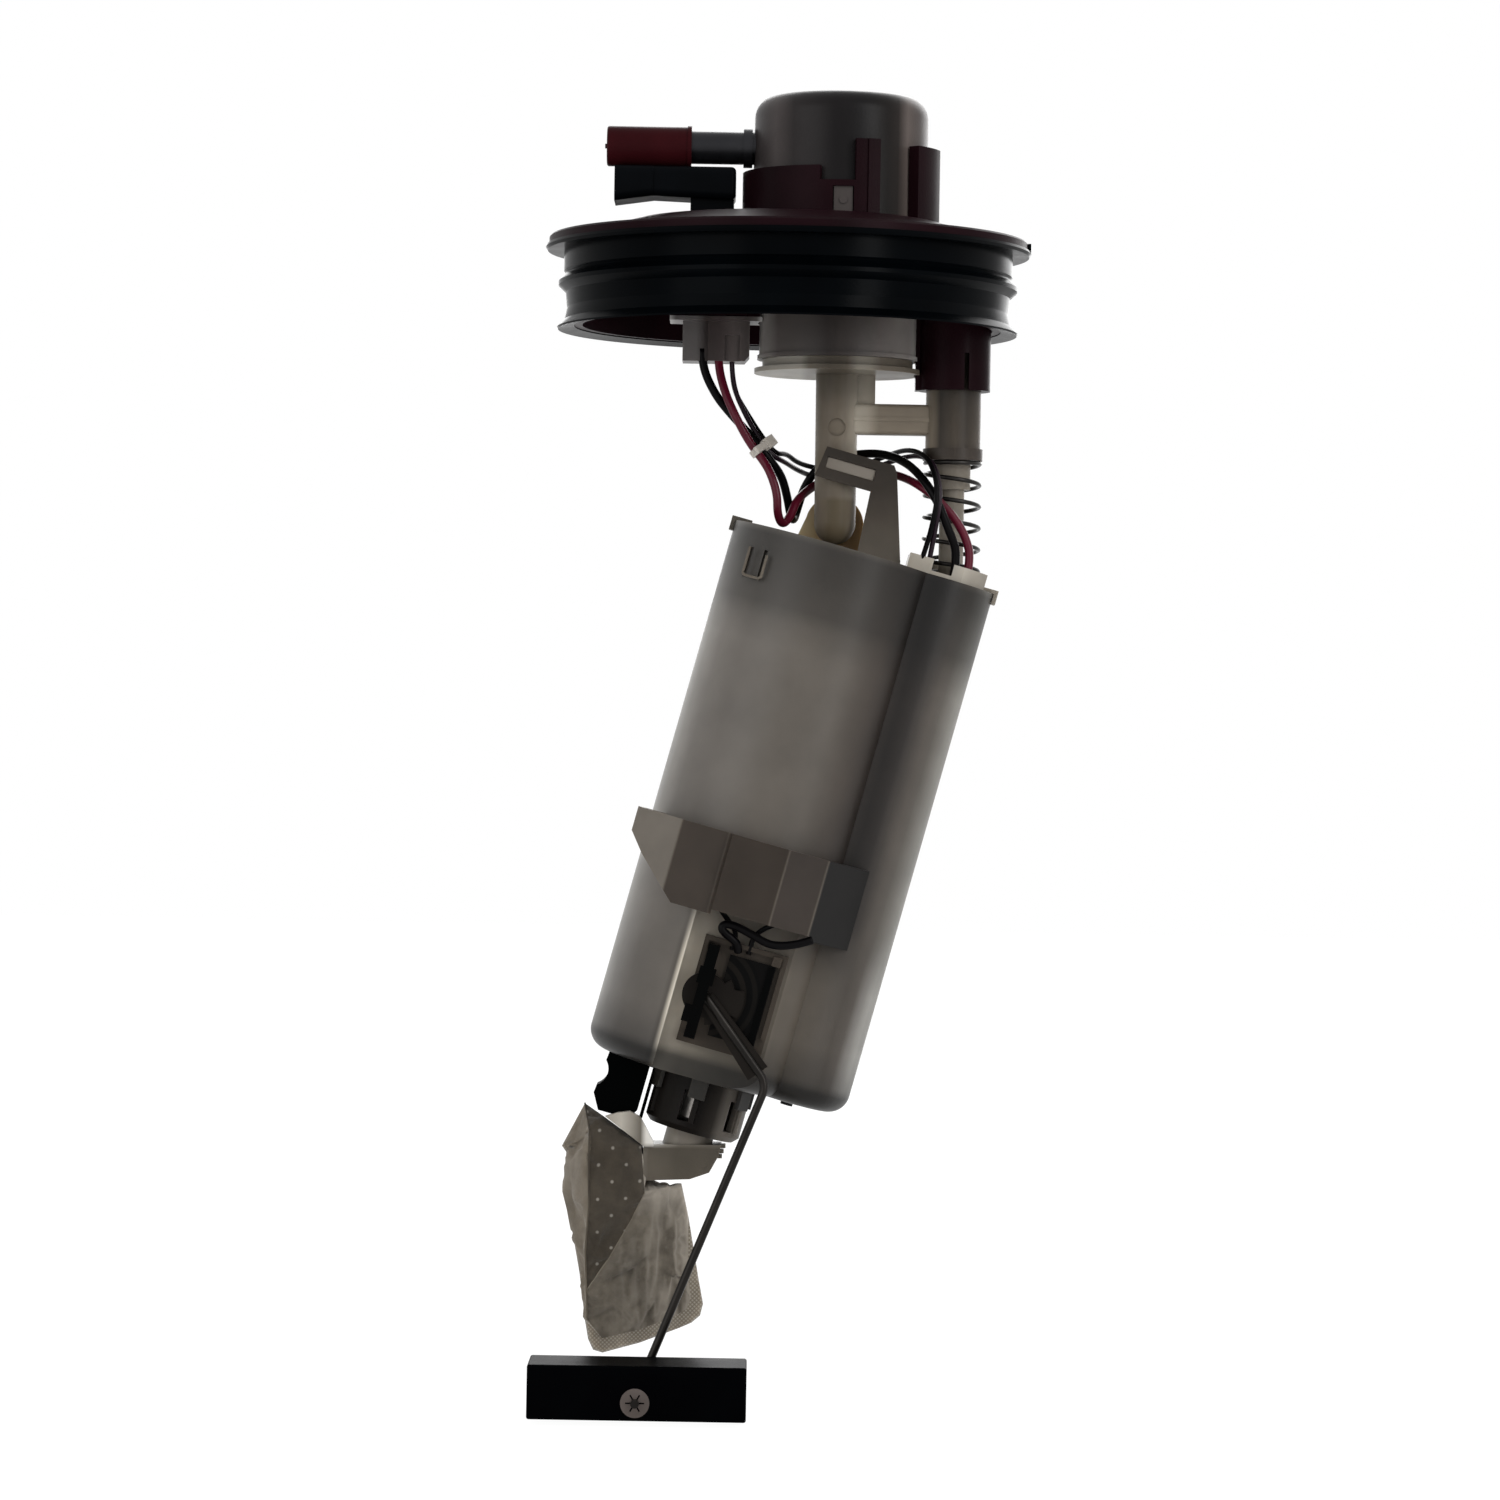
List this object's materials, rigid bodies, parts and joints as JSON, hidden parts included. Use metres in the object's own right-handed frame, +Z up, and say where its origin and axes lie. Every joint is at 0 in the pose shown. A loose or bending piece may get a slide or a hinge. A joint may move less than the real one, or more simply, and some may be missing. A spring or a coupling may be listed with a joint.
{
  "type": "fuel pump module",
  "caption": "Round tank flange with filter canister, sealed plug socket and hinged tilted reservoir that holds an electric pump, level sender with float arm and strainer sock.",
  "frame": {"origin": "axis of the round top plate at the level where the seal's lip rests on the tank", "axes": "+Z up out of the tank along the plate's axis, -X along the outlet tube, -Y towards the level sender"},
  "size_m": [0.1412, 0.1412, 0.3784],
  "materials": {
    "plate_maroon": "satin",
    "seal_rubber": "gloss",
    "can_coating": "satin",
    "filter_paper": "matte",
    "black_rubber": "matte",
    "bright_steel": "satin",
    "tube_steel": "satin",
    "cap_red": "gloss",
    "connector_black": "satin",
    "terminal_metal": "satin",
    "connector_grey": "satin",
    "cup_white": "satin",
    "manifold_natural": "satin",
    "ring_natural": "satin",
    "socket_amber": "satin",
    "rotor_grey": "satin",
    "spring_steel": "satin",
    "wire_black": "satin",
    "wire_red": "satin",
    "wire_purple": "satin",
    "white_nylon": "satin",
    "reservoir_natural": "satin",
    "lid_natural": "satin",
    "bracket_white": "satin",
    "pump_steel": "satin",
    "hose_black": "satin",
    "end_cap_grey": "satin",
    "bumper_rubber": "matte",
    "shield_natural": "satin",
    "sender_white": "satin",
    "board_ceramic": "matte",
    "strap_black": "satin",
    "arm_wire": "satin",
    "float_foam": "matte",
    "fitting_white": "satin",
    "sock_felt": "matte"
  },
  "bodies": {
    "top_plate": {"flange": "plate_maroon", "flange_seal": "seal_rubber", "filter_canister": "can_coating", "filter_element": "filter_paper", "canister_grommets": "black_rubber", "pressure_regulator": "bright_steel", "outlet_nipple": "tube_steel", "canister_clip": "bright_steel", "harness_connector": "connector_black", "harness_terminals": "terminal_metal", "inner_connector": "connector_grey", "filter_cup": "cup_white", "feed_manifold": "manifold_natural", "swivel_oring": "black_rubber", "spring_ring": "ring_natural", "return_spring": "spring_steel", "pump_lead_black": "wire_black", "pump_lead_red": "wire_red", "sender_lead_purple": "wire_purple", "sender_lead_black": "wire_black", "cable_tie": "white_nylon"},
    "outlet_cap": {"outlet_cap": "cap_red"},
    "reservoir": {"reservoir": "reservoir_natural", "reservoir_lid": "lid_natural", "swivel_socket": "socket_amber", "swivel_bracket": "bracket_white", "pump_motor": "pump_steel", "pump_isolator": "black_rubber", "feed_hose": "hose_black", "pump_end_cap": "end_cap_grey", "inlet_valve": "black_rubber", "bumper": "bumper_rubber", "splash_shield": "shield_natural", "sender_frame": "sender_white", "resistor_board": "board_ceramic", "sender_bracket": "strap_black", "sender_inner_leads": "wire_black", "pump_inner_leads": "wire_red", "strainer_fitting": "fitting_white", "strainer_sock": "sock_felt"},
    "float_arm": {"float_arm": "arm_wire", "sender_rotor": "rotor_grey", "wiper_contact": "terminal_metal", "float_washer": "bright_steel"},
    "float": {"float": "float_foam"}
  },
  "joints": [
    {"name": "reservoir_swing", "type": "hinge", "parent": "top_plate", "child": "reservoir", "pos_m": [0.0148, 0, -0.078], "axis": [0, -1, 0], "range_deg": [0, 15], "stiffness_Nm_per_rad": 0.6, "springref_deg": -28.65, "deforming": ["return_spring", "pump_lead_black", "pump_lead_red", "sender_lead_purple", "sender_lead_black"]},
    {"name": "outlet_cap_pull", "type": "slide", "parent": "top_plate", "child": "outlet_cap", "axis": [-1, 0, 0], "range_m": [0, 0.03]},
    {"name": "float_arm_swing", "type": "hinge", "parent": "reservoir", "child": "float_arm", "pos_m": [-0.02041, 0, -0.21423], "axis": [0, -1, 0], "range_deg": [0, 76]},
    {"name": "float_pivot", "type": "hinge", "parent": "float_arm", "child": "float", "pos_m": [-0.03779, 0, -0.32759], "axis": [0, 1, 0], "continuous": true}
  ]
}
